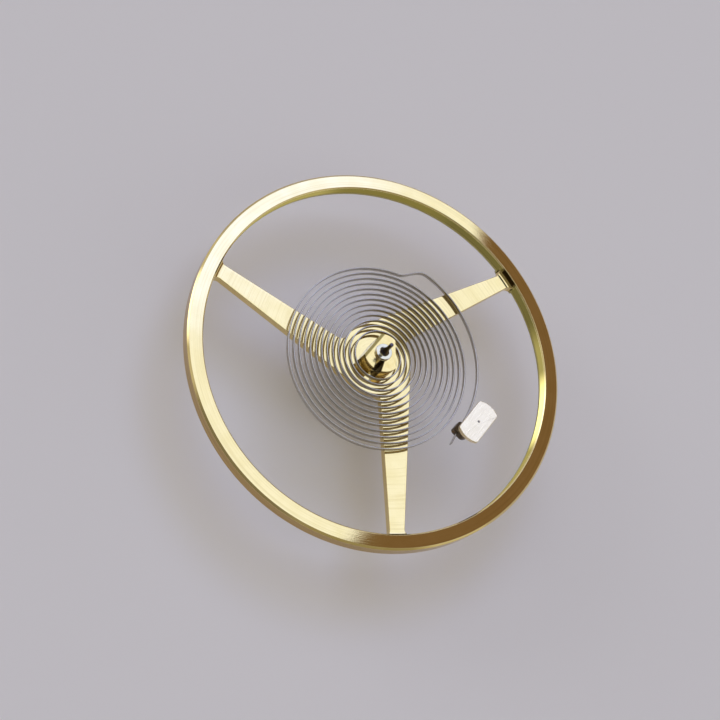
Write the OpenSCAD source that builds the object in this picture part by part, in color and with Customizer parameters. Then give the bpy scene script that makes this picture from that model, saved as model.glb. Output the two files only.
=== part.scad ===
// Watch balance: a smooth three-arm balance wheel on its staff, with the flat hairspring,
// its collet and stud, and the double roller with its impulse jewel.
// Millimetres. +Z runs up the staff, the origin is the tip of the lower pivot,
// and the stud stands on the +X side.

/* [Wheel] */
// Outer diameter of the rim
wheel_d = 10; // [9.6:0.1:12]
// Width of the rim, seen from above
rim_w = 0.40; // [0.25:0.01:0.6]
// Height of the rim
rim_h = 0.44; // [0.36:0.01:0.6]
// Chamfer on the rim's outer edges
rim_chamfer = 0.05; // [0.02:0.01:0.08]
// Fall of the rim's top towards its outer edge
rim_fall = 0.03; // [0:0.01:0.06]
// Depth of the turned recess from the rim's top down to the arms
recess = 0.22; // [0.12:0.01:0.28]
// Radius left by the turning tool where the recess meets the rim
recess_fillet = 0.10; // [0.04:0.01:0.12]
// Diameter of the hub
hub_d = 1.9; // [1.7:0.05:2.1]
// Sideways offset of each arm's centre line from the staff
arm_offset = 0.5; // [0.4:0.01:0.6]
// Width of an arm where it reaches the rim
arm_w = 0.38; // [0.25:0.005:0.5]
// Fillet where the sides of an arm meet the rim
arm_fillet = 0.14; // [0.05:0.01:0.2]
// Fillet where the narrow side of an arm meets the hub
hub_fillet = 0.20; // [0.05:0.01:0.3]
// Direction of the first arm, counted from the stud
arm_angle = 67.6; // [0:0.1:119]

/* [Staff] */
// Diameter of both pivots
pivot_d = 0.10; // [0.08:0.01:0.14]
// Length of the straight part of each pivot
pivot_l = 0.24; // [0.16:0.01:0.3]
// Length of the cone behind the lower pivot
lower_cone_l = 0.26; // [0.16:0.01:0.4]
// Diameter of the seat that carries the roller
roller_seat_d = 0.42; // [0.34:0.01:0.5]
// Length of the seat that carries the roller
roller_seat_l = 0.85; // [0.75:0.01:1]
// Diameter of the flange under the hub
flange_d = 0.84; // [0.76:0.01:0.85]
// Height of the flange under the hub
flange_h = 0.16; // [0.12:0.01:0.3]
// Diameter of the seat that carries the wheel
wheel_seat_d = 0.60; // [0.54:0.01:0.7]
// Height of the riveted edge above the hub
rivet_h = 0.02; // [0.01:0.01:0.04]
// Diameter of the seat that carries the collet
collet_seat_d = 0.44; // [0.4:0.01:0.5]
// Height of the shoulder above the collet
shoulder_h = 0.08; // [0.04:0.01:0.2]
// Length of the cone behind the upper pivot
upper_cone_l = 0.26; // [0.16:0.01:0.4]

/* [Roller] */
// Diameter of the roller table
table_d = 1.7; // [1.6:0.05:2.4]
// Thickness of the roller table
table_h = 0.18; // [0.12:0.01:0.24]
// Diameter of the neck between the table and the safety roller
roller_neck_d = 0.66; // [0.56:0.02:0.72]
// Length of the seat left bare below the roller
seat_bare = 0.09; // [0.02:0.01:0.15]
// Diameter of the safety roller
safety_d = 0.84; // [0.76:0.02:0.96]
// Height of the safety roller
safety_h = 0.26; // [0.16:0.01:0.32]
// Radius of the crescent cut into the safety roller
crescent_r = 0.15; // [0.1:0.01:0.18]
// Distance of the impulse jewel from the staff's axis
jewel_r = 0.62; // [0.61:0.01:0.66]
// Diameter of the impulse jewel
jewel_d = 0.24; // [0.18:0.01:0.25]
// Width of the ring of cement round the jewel
cement_ring = 0.07; // [0.03:0.01:0.07]
// Length of the impulse jewel below the table
jewel_drop = 0.45; // [0.35:0.01:0.6]
// Height of the impulse jewel above the table
jewel_rise = 0.05; // [0.03:0.01:0.1]
// Direction of the impulse jewel, counted from the stud
jewel_angle = 187.6; // [0:0.1:359]

/* [Collet] */
// Diameter of the collet
collet_d = 1.0; // [0.94:0.01:1.05]
// Height of the collet
collet_h = 0.45; // [0.36:0.01:0.6]
// Distance of the collet's two flats from the axis
collet_flat = 0.335; // [0.3:0.005:0.38]
// Width of the collet's slot
collet_slot_w = 0.20; // [0.12:0.01:0.24]
// Direction opposite the slot, where the spring is pinned, counted from the stud
collet_angle = 109; // [100:1:118]
// Angle between the slot and each flat
collet_flat_turn = 109; // [104:1:114]
// Diameter of the cross hole that takes the spring and its pin
collet_hole_d = 0.15; // [0.14:0.005:0.16]
// Diameter of the pin that wedges the spring
collet_pin_d = 0.066; // [0.05:0.002:0.07]
// Length of the pin that wedges the spring
collet_pin_l = 0.72; // [0.6:0.01:0.9]

/* [Hairspring] */
// Thickness of the spring's ribbon
spring_t = 0.030; // [0.02:0.002:0.036]
// Height of the spring's ribbon
spring_h = 0.12; // [0.08:0.01:0.13]
// Clearance from the arms up to the spring
spring_gap = 0.07; // [0.07:0.01:0.12]
// Number of coils
coils = 13; // [10:1:14]
// Distance from one coil to the next
coil_pitch = 0.148; // [0.12:0.002:0.16]
// Radius at which the first coil starts
coil_r = 0.56; // [0.55:0.005:0.6]
// How far the outer coils lie off centre when the balance is free
coil_drift = 0.05; // [0:0.01:0.06]
// Direction in which the outer coils lie off centre, counted from the stud
coil_drift_angle = 330; // [300:1:345]
// Step outward from the last coil to the regulator curve
curve_step = 0.36; // [0.26:0.01:0.4]
// How much the regulator curve closes in on its way to the stud
curve_close = 0.13; // [0:0.01:0.14]
// Direction at which the last coil ends, counted from the stud
elbow_angle = 114; // [108:1:125]
// Angle that the step outward takes
elbow_turn = 16; // [14:1:30]
// Angle of the loose end past the stud
spring_tail = 9.5; // [7.5:0.5:12]
// How far the loose end bends outward
tail_bend = 0.14; // [0:0.01:0.16]

/* [Stud] */
// Diameter of the stud's head
head_d = 1.12; // [0.9:0.01:1.3]
// Distance across the flats of the head
head_flats = 0.60; // [0.5:0.01:0.8]
// Radius on the four corners of the head
head_corner = 0.09; // [0.02:0.01:0.1]
// Diameter of the centre mark in the head's top
mark_d = 0.07; // [0.04:0.01:0.12]
// Depth of the centre mark
mark_depth = 0.02; // [0.01:0.01:0.05]
// Thickness of the head
head_h = 0.12; // [0.08:0.01:0.2]
// Height of the head's top above the rim's top
head_rise = 0.87; // [0.6:0.01:1]
// Diameter of the stud's neck
neck_d = 0.30; // [0.24:0.01:0.4]
// Distance from the neck's axis to the spring
foot_reach = 0.18; // [0.16:0.01:0.3]
// Thickness of the foot's wall on the wheel's side of the spring
foot_wall = 0.10; // [0.09:0.01:0.14]
// Length of the foot along the spring
foot_l = 0.28; // [0.2:0.01:0.36]
// Height of the foot above the spring
foot_rise = 0.07; // [0.05:0.01:0.2]
// Depth of the foot below the spring
foot_drop = 0.03; // [0.02:0.01:0.04]
// Diameter of the hole that takes the spring and its cement
foot_hole_d = 0.14; // [0.135:0.005:0.16]
// Radius of the beads of cement at the foot's two faces
cement_r = 0.085; // [0.075:0.005:0.09]

/* [Hidden] */
$fn = 64;
arm_count = 3;
cut = 1;

// Heights of the stack, from the tip of the lower pivot upwards
roller_z = pivot_l + lower_cone_l;
flange_z = roller_z + roller_seat_l;
wheel_z = flange_z + flange_h;
rim_top = wheel_z + rim_h;
arm_top = rim_top - recess;
collet_z = arm_top + rivet_h;
collet_top = collet_z + collet_h;
shoulder_top = collet_top + shoulder_h;
staff_l = shoulder_top + upper_cone_l + pivot_l;
table_z = flange_z - table_h;
safety_z = roller_z + seat_bare;
spring_z = arm_top + spring_gap;
spring_mid = spring_z + spring_h / 2;
head_top = rim_top + head_rise;

// Wheel
rim_r = wheel_d / 2;
rim_in = rim_r - rim_w;
hub_r = hub_d / 2;
arm_hub_half = hub_r - arm_offset;
rim_overlap = rim_w / 3;
hub_overlap = 0.005;

// Staff
cone_fn = 5;
shoulder_d = collet_seat_d - 0.02;
rivet_d = wheel_seat_d + 0.08;

// Collet: the spring passes outside the pin in one cross hole
hole_shift = 0.025;
corner_clearance = 0.007;
pin_clearance = 0.003;
hole_mid = (collet_seat_d + collet_d) / 4 + hole_shift;
hole_half_w = sqrt(pow(collet_hole_d / 2, 2) - pow(spring_h / 2, 2));
line_r = hole_mid + hole_half_w - corner_clearance - spring_t / 2;
pin_mid = line_r - spring_t / 2 - pin_clearance - collet_pin_d / 2;

// Hairspring: u counts degrees clockwise along the ribbon from its inner end
u_inner = 10;
u_leave = u_inner + 28;
u_coil = u_inner + 48;
u_stud = collet_angle + u_inner + 360 * coils;
u_elbow = u_stud - elbow_angle;
u_curve = u_elbow + elbow_turn;
u_end = u_stud + spring_tail;
last_r = coil_r + coil_pitch * (u_elbow - u_coil) / 360;
curve_r = last_r + curve_step;
stud_r = curve_r - curve_close;
ring_step = 10;
elbow_step = 2;
tail_step = 5;

// Stud
corner_y = sqrt(pow(head_d / 2 - head_corner, 2) - pow(head_flats / 2 - head_corner, 2));
stud_x = stud_r + foot_reach;
foot_z = spring_z - foot_drop;
foot_chamfer = 0.04;
bead_l = 0.05;
cement_turn = 45;

// A point at a radius and an angle
function polar(r, a) = [r * cos(a), r * sin(a)];

// A value that rises smoothly from 0 to 1 between a and b
function ease(u, a, b) = let (t = min(1, max(0, (u - a) / (b - a)))) t * t * (3 - 2 * t);

// Centre line of the hairspring at u
function azimuth(u) = collet_angle + u_inner - u;
function pinned_r(u) = line_r / cos(min(u_coil, u) - u_inner);
function coil_progress(u) = max(0, (u - u_coil) / (u_elbow - u_coil));
function coil_point(u) =
    polar(coil_r + coil_pitch * (u - u_coil) / 360, azimuth(u))
    + coil_drift * pow(coil_progress(u), 2) * polar(1, coil_drift_angle);
function curve_point(u) =
    polar(curve_r - curve_close * min(1, (u - u_curve) / (u_stud - u_curve))
          + tail_bend * max(0, u - u_stud) / spring_tail, azimuth(u));
function spring_point(u) =
    let (leave = ease(u, u_leave, u_coil), step = ease(u, u_elbow, u_curve))
    u < u_coil ? (1 - leave) * polar(pinned_r(u), azimuth(u)) + leave * coil_point(u)
               : (1 - step) * coil_point(u) + step * curve_point(u);

// Unit normal of the centre line, pointing away from the staff
function spring_normal(u) =
    let (d = spring_point(u + 0.5) - spring_point(u - 0.5)) [-d.y, d.x] / norm(d);

// Even steps from one place on the ribbon to another, without the first place
function steps(from, to, step) =
    let (n = ceil((to - from) / step)) [for (i = [1:n]) from + (to - from) * i / n];
spring_line = concat([0], steps(0, u_elbow, ring_step), steps(u_elbow, u_curve, elbow_step),
                     steps(u_curve, u_stud, ring_step), steps(u_stud, u_end, tail_step));

// Least gap between neighbouring turns, measured between points on the centre line
function turn_gap(u) =
    min([for (v = [u + 350:2:u + 370]) norm(spring_point(v) - spring_point(u))]) - spring_t;
least_gap = min([for (u = spring_line) if (u >= u_coil && u <= u_end - 370) turn_gap(u)]);
echo("least gap between turns of the hairspring, mm:", least_gap);

// A vector of the given length along v
function along(v, length) = v * length / norm(v);

// Centre of a fillet beside the line through p along d: f off the line along its unit normal n,
// and reach away from the staff's axis
function fillet_centre(p, d, n, f, reach) =
    let (q = p + f * n, b = q * d) q + (sqrt(b * b - q * q + reach * reach) - b) * d;

// Points of a fillet about c, from the direction v round to the direction w
function fillet(c, f, v, w) =
    let (a = atan2(v.y, v.x), turn = (atan2(w.y, w.x) - a + 540) % 360 - 180)
    [for (i = [0:6]) c + polar(f, a + turn * i / 6)];

// One side of an arm along +X, from the hub to just inside the rim
// side is 1 for the wide side, which runs tangent to the hub, and -1 for the narrow side
function arm_side(side) =
    let (a = [0, arm_offset + side * arm_hub_half],
         b = [rim_in, arm_offset + side * arm_w / 2],
         d = (b - a) / norm(b - a),
         n = side * [-d.y, d.x],
         root = fillet_centre(a, d, n, hub_fillet, hub_r + hub_fillet - hub_overlap),
         tip = fillet_centre(a, d, n, arm_fillet, rim_in - arm_fillet))
    concat([a], side < 0 ? fillet(root, hub_fillet, -root, -n) : [],
           fillet(tip, arm_fillet, -n, tip), [along(tip, rim_in + rim_overlap)]);

function reversed(list) = [for (i = [len(list) - 1:-1:0]) list[i]];

// Outline, in the XZ plane, of the space between the recess and the underside of the wheel
function recess_profile() = concat(
    [[0, wheel_z], [0, arm_top]],
    [for (i = [0:6]) [rim_in - recess_fillet, arm_top + recess_fillet]
                     + recess_fillet * polar(1, -90 + 15 * i)],
    [[rim_in + rim_overlap, arm_top + recess_fillet], [rim_in + rim_overlap, wheel_z]]);

module arm() {
    intersection() {
        translate([0, 0, wheel_z])
            linear_extrude(rim_h)
                polygon(concat(arm_side(-1), reversed(arm_side(1))));
        rotate_extrude()
            polygon(recess_profile());
    }
}

module rim() {
    rotate_extrude()
        polygon([[rim_in, wheel_z], [rim_r - rim_chamfer, wheel_z], [rim_r, wheel_z + rim_chamfer],
                 [rim_r, rim_top - rim_fall - rim_chamfer], [rim_r - rim_chamfer, rim_top - rim_fall],
                 [rim_in, rim_top]]);
}

module balance_wheel() {
    color("gold")
        difference() {
            union() {
                rim();
                for (i = [0:arm_count - 1])
                    rotate([0, 0, arm_angle + i * 360 / arm_count]) arm();
                translate([0, 0, wheel_z]) cylinder(d = hub_d, h = arm_top - wheel_z);
            }
            translate([0, 0, wheel_z - cut]) cylinder(d = wheel_seat_d, h = rim_h + 2 * cut);
        }
}

// Radii of the hollow cone behind a pivot, as [distance from the pivot, radius]
function trumpet(r_from, r_to, l) =
    [for (i = [1:cone_fn]) let (t = i / cone_fn) [l * t, r_from + (r_to - r_from) * t * t]];

module balance_staff() {
    lower = trumpet(pivot_d / 2, roller_seat_d / 2, lower_cone_l);
    upper = trumpet(pivot_d / 2, shoulder_d / 2, upper_cone_l);
    color("silver")
        rotate_extrude()
            polygon(concat(
                [[0, 0], [pivot_d / 2, 0], [pivot_d / 2, pivot_l]],
                [for (p = lower) [p.y, pivot_l + p.x]],
                [[roller_seat_d / 2, flange_z], [flange_d / 2, flange_z], [flange_d / 2, wheel_z],
                 [wheel_seat_d / 2, wheel_z], [wheel_seat_d / 2, arm_top], [rivet_d / 2, arm_top],
                 [rivet_d / 2, collet_z], [collet_seat_d / 2, collet_z], [collet_seat_d / 2, collet_top],
                 [shoulder_d / 2, collet_top], [shoulder_d / 2, shoulder_top]],
                [for (p = reversed(upper)) [p.y, staff_l - pivot_l - p.x]],
                [[pivot_d / 2, staff_l - pivot_l], [pivot_d / 2, staff_l], [0, staff_l]]));
}

// The impulse jewel's D shape, flat towards the outside
module jewel_shape() {
    difference() {
        circle(d = jewel_d);
        translate([jewel_d / 4, -jewel_d]) square(2 * jewel_d);
    }
}

module at_jewel(z) {
    rotate([0, 0, jewel_angle]) translate([jewel_r, 0, z]) children();
}

module double_roller() {
    color("lightsteelblue")
        difference() {
            union() {
                translate([0, 0, table_z]) cylinder(d = table_d, h = table_h);
                translate([0, 0, safety_z]) cylinder(d = roller_neck_d, h = table_z - safety_z);
                translate([0, 0, safety_z]) cylinder(d = safety_d, h = safety_h);
            }
            translate([0, 0, safety_z - cut]) cylinder(d = roller_seat_d, h = staff_l);
            at_jewel(table_z - cut) linear_extrude(table_h + 2 * cut) jewel_shape();
            rotate([0, 0, jewel_angle]) translate([safety_d / 2 + crescent_r / 3, 0, safety_z - cut])
                cylinder(r = crescent_r, h = safety_h + cut);
        }
}

module impulse_jewel() {
    color("crimson")
        at_jewel(table_z - jewel_drop)
            linear_extrude(jewel_drop + table_h + jewel_rise) jewel_shape();
}

module jewel_cement() {
    color("saddlebrown")
        at_jewel(flange_z)
            difference() {
                cylinder(r1 = jewel_d / 2 + cement_ring, r2 = jewel_d / 2 + cement_ring / 2, h = jewel_rise / 2);
                translate([0, 0, -cut]) linear_extrude(2 * cut) jewel_shape();
            }
}

// The collet's cross hole or pin: a cylinder square to the collet's pinned side
module across_collet(r, d, l) {
    rotate([0, 0, collet_angle])
        translate([r, 0, spring_mid])
            rotate([90, 0, 0]) cylinder(d = d, h = l, center = true);
}

module collet() {
    color("khaki")
        difference() {
            translate([0, 0, collet_z]) cylinder(d = collet_d, h = collet_h);
            translate([0, 0, collet_z - cut]) cylinder(d = collet_seat_d, h = collet_h + 2 * cut);
            rotate([0, 0, collet_angle + 180])
                translate([0, -collet_slot_w / 2, collet_z - cut])
                    cube([collet_d, collet_slot_w, collet_h + 2 * cut]);
            for (side = [-1, 1])
                rotate([0, 0, collet_angle + 180 + side * collet_flat_turn])
                    translate([collet_flat, -collet_d / 2, collet_z - cut])
                        cube([collet_d, collet_d, collet_h + 2 * cut]);
            across_collet(hole_mid, collet_hole_d, 2 * collet_d);
        }
}

module collet_pin() {
    color("goldenrod") across_collet(pin_mid, collet_pin_d, collet_pin_l);
}

// The ribbon from one place along the spring to its outer end
module ribbon(from) {
    line = [for (u = spring_line) if (u >= from) u];
    translate([0, 0, spring_z])
        linear_extrude(spring_h)
            polygon(concat(
                [for (u = line) spring_point(u) + spring_normal(u) * spring_t / 2],
                [for (u = reversed(line)) spring_point(u) - spring_normal(u) * spring_t / 2]));
}

module hairspring() {
    color("dimgray") ribbon(0);
}

// The foot's outline, with its inner corners taken off
module foot_shape() {
    x = stud_r - foot_wall;
    y = foot_l / 2;
    c = foot_chamfer;
    polygon([[x, c - y], [x + c, -y], [stud_x, -y], [stud_x, y], [x + c, y], [x, y - c]]);
}

// One rounded end of the head: a small arc, the disc's own edge, and a small arc
function head_end() =
    let (c = [head_flats / 2 - head_corner, corner_y], a = atan2(c.y, c.x))
    concat([for (i = [0:4]) c + polar(head_corner, a * i / 4)],
           [for (i = [1:9]) polar(head_d / 2, a + (180 - 2 * a) * i / 10)],
           [for (i = [4:-1:0]) [-c.x, c.y] + polar(head_corner, 180 - a * i / 4)]);

module stud() {
    color("whitesmoke")
        difference() {
            union() {
                translate([stud_x, 0, head_top - head_h])
                    linear_extrude(head_h) polygon(concat(head_end(), -head_end()));
                translate([stud_x, 0, foot_z]) cylinder(d = neck_d, h = head_top - foot_z - head_h / 2);
                translate([0, 0, foot_z]) linear_extrude(foot_drop + spring_h + foot_rise) foot_shape();
            }
            translate([stud_x, 0, head_top - mark_depth])
                cylinder(d1 = 0, d2 = mark_d, h = mark_depth);
            translate([stud_r, 0, spring_mid])
                rotate([90, 0, 0]) cylinder(d = foot_hole_d, h = 2 * foot_l, center = true);
        }
}

// A bead of cement that domes out of one face of the foot
module bead() {
    rotate_extrude()
        polygon(concat([[0, 0]], [for (a = [0:15:90]) [cement_r * cos(a), bead_l * sin(a)]]));
}

module stud_cement() {
    color("sienna")
        difference() {
            translate([stud_r, 0, spring_mid])
                union() {
                    rotate([90, 0, 0]) cylinder(d = foot_hole_d, h = foot_l, center = true);
                    for (side = [-1, 1])
                        translate([0, side * foot_l / 2, 0]) rotate([-side * 90, 0, 0]) bead();
                }
            ribbon(u_stud - cement_turn);
        }
}

balance_wheel();
balance_staff();
double_roller();
impulse_jewel();
jewel_cement();
collet();
collet_pin();
hairspring();
stud();
stud_cement();
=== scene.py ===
"""Watch balance with its hairspring: fine meshes, materials, floor, light and camera."""
import math

import bmesh
import bpy
from mathutils import Matrix, Vector, noise


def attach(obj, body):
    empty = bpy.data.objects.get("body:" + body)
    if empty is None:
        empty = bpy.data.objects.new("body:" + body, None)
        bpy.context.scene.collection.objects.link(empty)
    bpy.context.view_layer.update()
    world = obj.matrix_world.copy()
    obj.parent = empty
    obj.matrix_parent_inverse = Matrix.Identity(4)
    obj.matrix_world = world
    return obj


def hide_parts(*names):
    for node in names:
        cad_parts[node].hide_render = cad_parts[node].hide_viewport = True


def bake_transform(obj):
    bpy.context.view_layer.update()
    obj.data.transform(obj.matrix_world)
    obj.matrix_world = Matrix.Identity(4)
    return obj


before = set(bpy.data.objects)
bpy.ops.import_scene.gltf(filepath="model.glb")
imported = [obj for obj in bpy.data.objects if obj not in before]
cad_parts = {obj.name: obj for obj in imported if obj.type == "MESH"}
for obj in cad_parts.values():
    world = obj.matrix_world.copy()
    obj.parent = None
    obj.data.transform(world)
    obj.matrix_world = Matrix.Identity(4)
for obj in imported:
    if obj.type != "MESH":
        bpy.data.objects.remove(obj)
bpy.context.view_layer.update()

# All sizes below are in millimetres and degrees, as in the part's source
MM = 0.001

# Wheel
RIM_R = 5.0
RIM_W = 0.40
RIM_IN = RIM_R - RIM_W
RIM_CHAMFER = 0.05
RIM_EDGE = 0.012
RIM_INNER_EDGE = 0.03
RIM_INNER_BASE = 0.07
RIM_FALL = 0.03
RECESS_FILLET = 0.10
HUB_R = 0.95
ARM_OFFSET = 0.5
ARM_HUB_HALF = HUB_R - ARM_OFFSET
ARM_W = 0.38
ARM_FILLET = 0.14
HUB_FILLET = 0.20
ARM_ANGLE = 67.6
ARM_COUNT = 3
ARM_ROOT = 1.25
ARM_TIP = RIM_IN + 0.10
ARM_END_L = 0.22
ARM_EDGE = 0.014
WHEEL_Z = 1.51
ARM_TOP = 1.73
RIM_TOP = 1.95

# Staff
PIVOT_R = 0.05
PIVOT_L = 0.24
PIVOT_EDGE = 0.02
LOWER_CONE_L = 0.26
CONE_FOOT_R = 0.13
CONE_L = 0.30
ROLLER_SEAT_R = 0.21
FLANGE_R = 0.42
FLANGE_Z = 1.35
FLANGE_EDGE = 0.012
WHEEL_SEAT_R = 0.30
RIVET_R = 0.34
RIVET_EDGE = 0.009
COLLET_SEAT_R = 0.22
COLLET_SEAT_EDGE = 0.004
SHOULDER_R = 0.21
SHOULDER_TOP = 2.28
SHOULDER_EDGE = 0.008
STAFF_L = 2.78

# Roller and jewel
TABLE_R = 0.85
TABLE_Z = 1.17
NECK_R = 0.33
SAFETY_R = 0.42
SAFETY_Z = 0.59
SAFETY_H = 0.26
CRESCENT_R = 0.15
ROLLER_EDGE = 0.010
JEWEL_R = 0.62
JEWEL_HALF = 0.12
JEWEL_DROP = 0.45
JEWEL_RISE = 0.05
JEWEL_PLAY = 0.001
JEWEL_EDGE = 0.012
JEWEL_ANGLE = 187.6
CEMENT_RING = 0.07
CEMENT_LUMP = 0.12

# Collet
COLLET_R = 0.5
COLLET_Z = 1.75
COLLET_TOP = 2.20
COLLET_FLAT = 0.335
COLLET_SLOT_W = 0.20
COLLET_ANGLE = 109
COLLET_FLAT_TURN = 109
COLLET_HOLE_D = 0.15
COLLET_EDGE = 0.032
COLLET_PIN_D = 0.066
COLLET_PIN_L = 0.58
COLLET_PIN_SHIFT = 0.06
COLLET_PIN_EDGE = 0.008

# Hairspring
SPRING_T = 0.030
SPRING_H = 0.12
SPRING_Z = 1.80
SPRING_MID = SPRING_Z + SPRING_H / 2
INNER_RISE = 0.03
CURVE_SAG = 0.065
SAG_LEAD = 60
SAG_HOLD = 10
SAG_STOP = 8
COILS = 13
COIL_PITCH = 0.148
COIL_R = 0.56
COIL_DRIFT = 0.05
COIL_DRIFT_ANGLE = 330
CURVE_STEP = 0.36
CURVE_CLOSE = 0.13
ELBOW_ANGLE = 114
ELBOW_TURN = 16
SPRING_TAIL = 9.5
TAIL_BEND = 0.14
HOLE_OUT = 0.025
HOLE_GAP = 0.007
PIN_GAP = 0.003
HOLE_MID = (COLLET_SEAT_R + COLLET_R) / 2 + HOLE_OUT
LINE_R = HOLE_MID + math.sqrt((COLLET_HOLE_D / 2) ** 2 - (SPRING_H / 2) ** 2) - HOLE_GAP - SPRING_T / 2
PIN_MID = LINE_R - SPRING_T / 2 - PIN_GAP - COLLET_PIN_D / 2

# Places along the ribbon, in degrees from its inner end: at the pin, at the end of its straight piece,
# at the start of the coils, at the stud, at the start and the end of the step outward, and at its end
PINNED_TURN = 28
FREE_TURN = 48
U_INNER = 10
U_LEAVE = U_INNER + PINNED_TURN
U_COIL = U_INNER + FREE_TURN
U_STUD = COLLET_ANGLE + U_INNER + 360 * COILS
U_ELBOW = U_STUD - ELBOW_ANGLE
U_CURVE = U_ELBOW + ELBOW_TURN
U_END = U_STUD + SPRING_TAIL
LAST_R = COIL_R + COIL_PITCH * (U_ELBOW - U_COIL) / 360
CURVE_R = LAST_R + CURVE_STEP
STUD_R = CURVE_R - CURVE_CLOSE

# Stud
HEAD_R = 0.56
HEAD_HALF = 0.30
HEAD_CORNER = 0.09
HEAD_H = 0.12
HEAD_TOP = 2.82
HEAD_EDGE = 0.016
MARK_R = 0.035
MARK_DEPTH = 0.02
STUD_NECK_R = 0.15
STUD_NECK_OUT = 0.18
STUD_X = STUD_R + STUD_NECK_OUT
NECK_FLARE = 0.03
FOOT_WALL = 0.10
FOOT_L = 0.28
FOOT_RISE = 0.07
FOOT_DROP = 0.03
FOOT_Z = SPRING_Z - FOOT_DROP
FOOT_TOP = SPRING_Z + SPRING_H + FOOT_RISE
FOOT_CHAMFER = 0.04
FOOT_EDGE = 0.010
FOOT_HOLE_D = 0.14
CEMENT_R = 0.085
BEAD_L = 0.05
BEAD_LUMP = 0.10

# How far a cutting tool reaches past the body that it cuts, and how far where another body is near
PAST = 0.1
PAST_NEAR = 0.01
# How far the stud's neck reaches into its head, and stays above its foot's underside
SUNK = 0.01


def polar(r, a):
    """The point at a radius and an angle in degrees."""
    return Vector((r * math.cos(math.radians(a)), r * math.sin(math.radians(a))))


def heading(v):
    """The angle of a vector in degrees."""
    return math.degrees(math.atan2(v.y, v.x))


def shorter_turn(a, b):
    """The turn from angle a to angle b, between -180 and 180 degrees."""
    return (b - a + 540) % 360 - 180


def ease(u, a, b):
    """A smooth step from 0 at a to 1 at b."""
    t = min(1.0, max(0.0, (u - a) / (b - a)))
    return t * t * (3 - 2 * t)


# Mesh helpers

def new_object(name, verts, faces):
    """An object whose points are given in millimetres."""
    mesh = bpy.data.meshes.new(name)
    mesh.from_pydata([tuple(v) for v in verts], [], faces)
    mesh.update()
    obj = bpy.data.objects.new(name, mesh)
    bpy.context.scene.collection.objects.link(obj)
    return obj


def evaluate(obj):
    """Bakes the object's modifiers into its mesh."""
    depsgraph = bpy.context.evaluated_depsgraph_get()
    depsgraph.update()
    mesh = bpy.data.meshes.new_from_object(obj.evaluated_get(depsgraph), depsgraph=depsgraph)
    old = obj.data
    obj.modifiers.clear()
    obj.data = mesh
    bpy.data.meshes.remove(old)


def cut_with(obj, tools):
    """Takes each tool's volume from the object and deletes the tools."""
    for tool in tools:
        modifier = obj.modifiers.new("cut", "BOOLEAN")
        modifier.object = tool
        modifier.operation = "DIFFERENCE"
        modifier.solver = "EXACT"
    evaluate(obj)
    for tool in tools:
        bpy.data.objects.remove(tool)


def round_edges(obj, width, angle=30, segments=3):
    """Rounds every edge that turns by more than the angle."""
    modifier = obj.modifiers.new("round", "BEVEL")
    modifier.width = width
    modifier.segments = segments
    modifier.limit_method = "ANGLE"
    modifier.angle_limit = math.radians(angle)
    modifier.use_clamp_overlap = True
    modifier.miter_outer = "MITER_ARC"
    evaluate(obj)


def finish_mesh(obj, sharp=50):
    """Turns the normals outward, sets smooth shading that keeps flats flat, and scales to metres."""
    bm = bmesh.new()
    bm.from_mesh(obj.data)
    bmesh.ops.remove_doubles(bm, verts=bm.verts, dist=1e-5)
    bmesh.ops.recalc_face_normals(bm, faces=bm.faces)
    bm.to_mesh(obj.data)
    bm.free()
    obj.data.shade_smooth()
    obj.data.set_sharp_from_angle(angle=math.radians(sharp))
    modifier = obj.modifiers.new("flats", "WEIGHTED_NORMAL")
    modifier.keep_sharp = True
    modifier.weight = 80
    evaluate(obj)
    obj.data.transform(Matrix.Scale(MM, 4))
    obj.data.update()
    return obj


def round_profile(points, radii, steps=4):
    """Rounds the corners of a polyline by the given radii."""
    out = []
    for i, p in enumerate(points):
        r = radii[i]
        if r <= 0:
            out.append(p)
            continue
        a = (Vector(points[i - 1]) - Vector(p)).normalized()
        b = (Vector(points[(i + 1) % len(points)]) - Vector(p)).normalized()
        half = a.angle(b) / 2
        reach = r / math.tan(half)
        centre = Vector(p) + (a + b).normalized() * (r / math.sin(half))
        start = Vector(p) + a * reach - centre
        end = Vector(p) + b * reach - centre
        turn = start.angle(end)
        sign = 1 if start.x * end.y - start.y * end.x > 0 else -1
        for k in range(steps + 1):
            t = sign * turn * k / steps
            x = start.x * math.cos(t) - start.y * math.sin(t)
            y = start.x * math.sin(t) + start.y * math.cos(t)
            out.append((centre.x + x, centre.y + y))
    return out


def lathe(name, profile, count, closed=False):
    """A turned body from (radius, height) points. Points on the axis close it at its ends."""
    verts = []
    rings = []
    for r, z in profile:
        if r < 1e-6:
            rings.append([len(verts)] * count)
            verts.append((0, 0, z))
        else:
            first = len(verts)
            rings.append([first + k for k in range(count)])
            verts += [(*polar(r, 360 * k / count), z) for k in range(count)]
    faces = []
    last = len(rings) if closed else len(rings) - 1
    for i in range(last):
        low, high = rings[i], rings[(i + 1) % len(rings)]
        for k in range(count):
            face = [low[k], low[(k + 1) % count], high[(k + 1) % count], high[k]]
            corners = list(dict.fromkeys(face))
            if len(corners) > 2:
                faces.append(corners)
    return new_object(name, verts, faces)


def prism(name, outline, low, high):
    """A straight extrusion of a closed outline."""
    n = len(outline)
    verts = [(p[0], p[1], low) for p in outline] + [(p[0], p[1], high) for p in outline]
    faces = [[i, (i + 1) % n, n + (i + 1) % n, n + i] for i in range(n)]
    faces += [list(range(n))[::-1], list(range(n, 2 * n))]
    return new_object(name, verts, faces)


def rod(name, centre, direction, r, length, count=48):
    """A plain cylinder about a centre point, along a direction."""
    obj = lathe(name, [(0, -length / 2), (r, -length / 2), (r, length / 2), (0, length / 2)], count)
    turn = Vector((0, 0, 1)).rotation_difference(Vector(direction)).to_matrix().to_4x4()
    obj.data.transform(Matrix.Translation(centre) @ turn)
    return obj


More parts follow.
